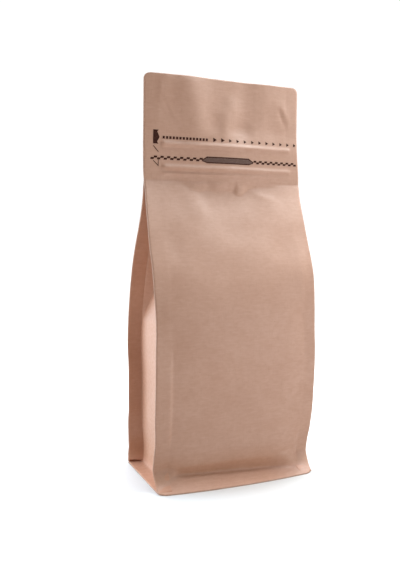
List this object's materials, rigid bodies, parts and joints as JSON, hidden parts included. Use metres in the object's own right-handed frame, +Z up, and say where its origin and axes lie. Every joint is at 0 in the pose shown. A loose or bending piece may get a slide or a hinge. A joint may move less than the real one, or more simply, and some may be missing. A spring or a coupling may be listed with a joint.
{
  "type": "flat-bottom pouch",
  "caption": "Shut flat-bottom kraft paper pouch with sealed corner fins, folded side walls, a flat header with a press-to-close band and a flared base seal.",
  "frame": {"origin": "middle of the base on the floor, under the middle of the bounding box", "axes": "+Z up the pouch, +X across the front to the right as seen from the front, -Y out of the front panel"},
  "size_m": [0.1516, 0.09, 0.345],
  "materials": {
    "kraft_paper": "matt brown kraft paper with a faint fibre grain"
  },
  "bodies": {
    "root": {"pouch": "kraft_paper"}
  },
  "joints": []
}
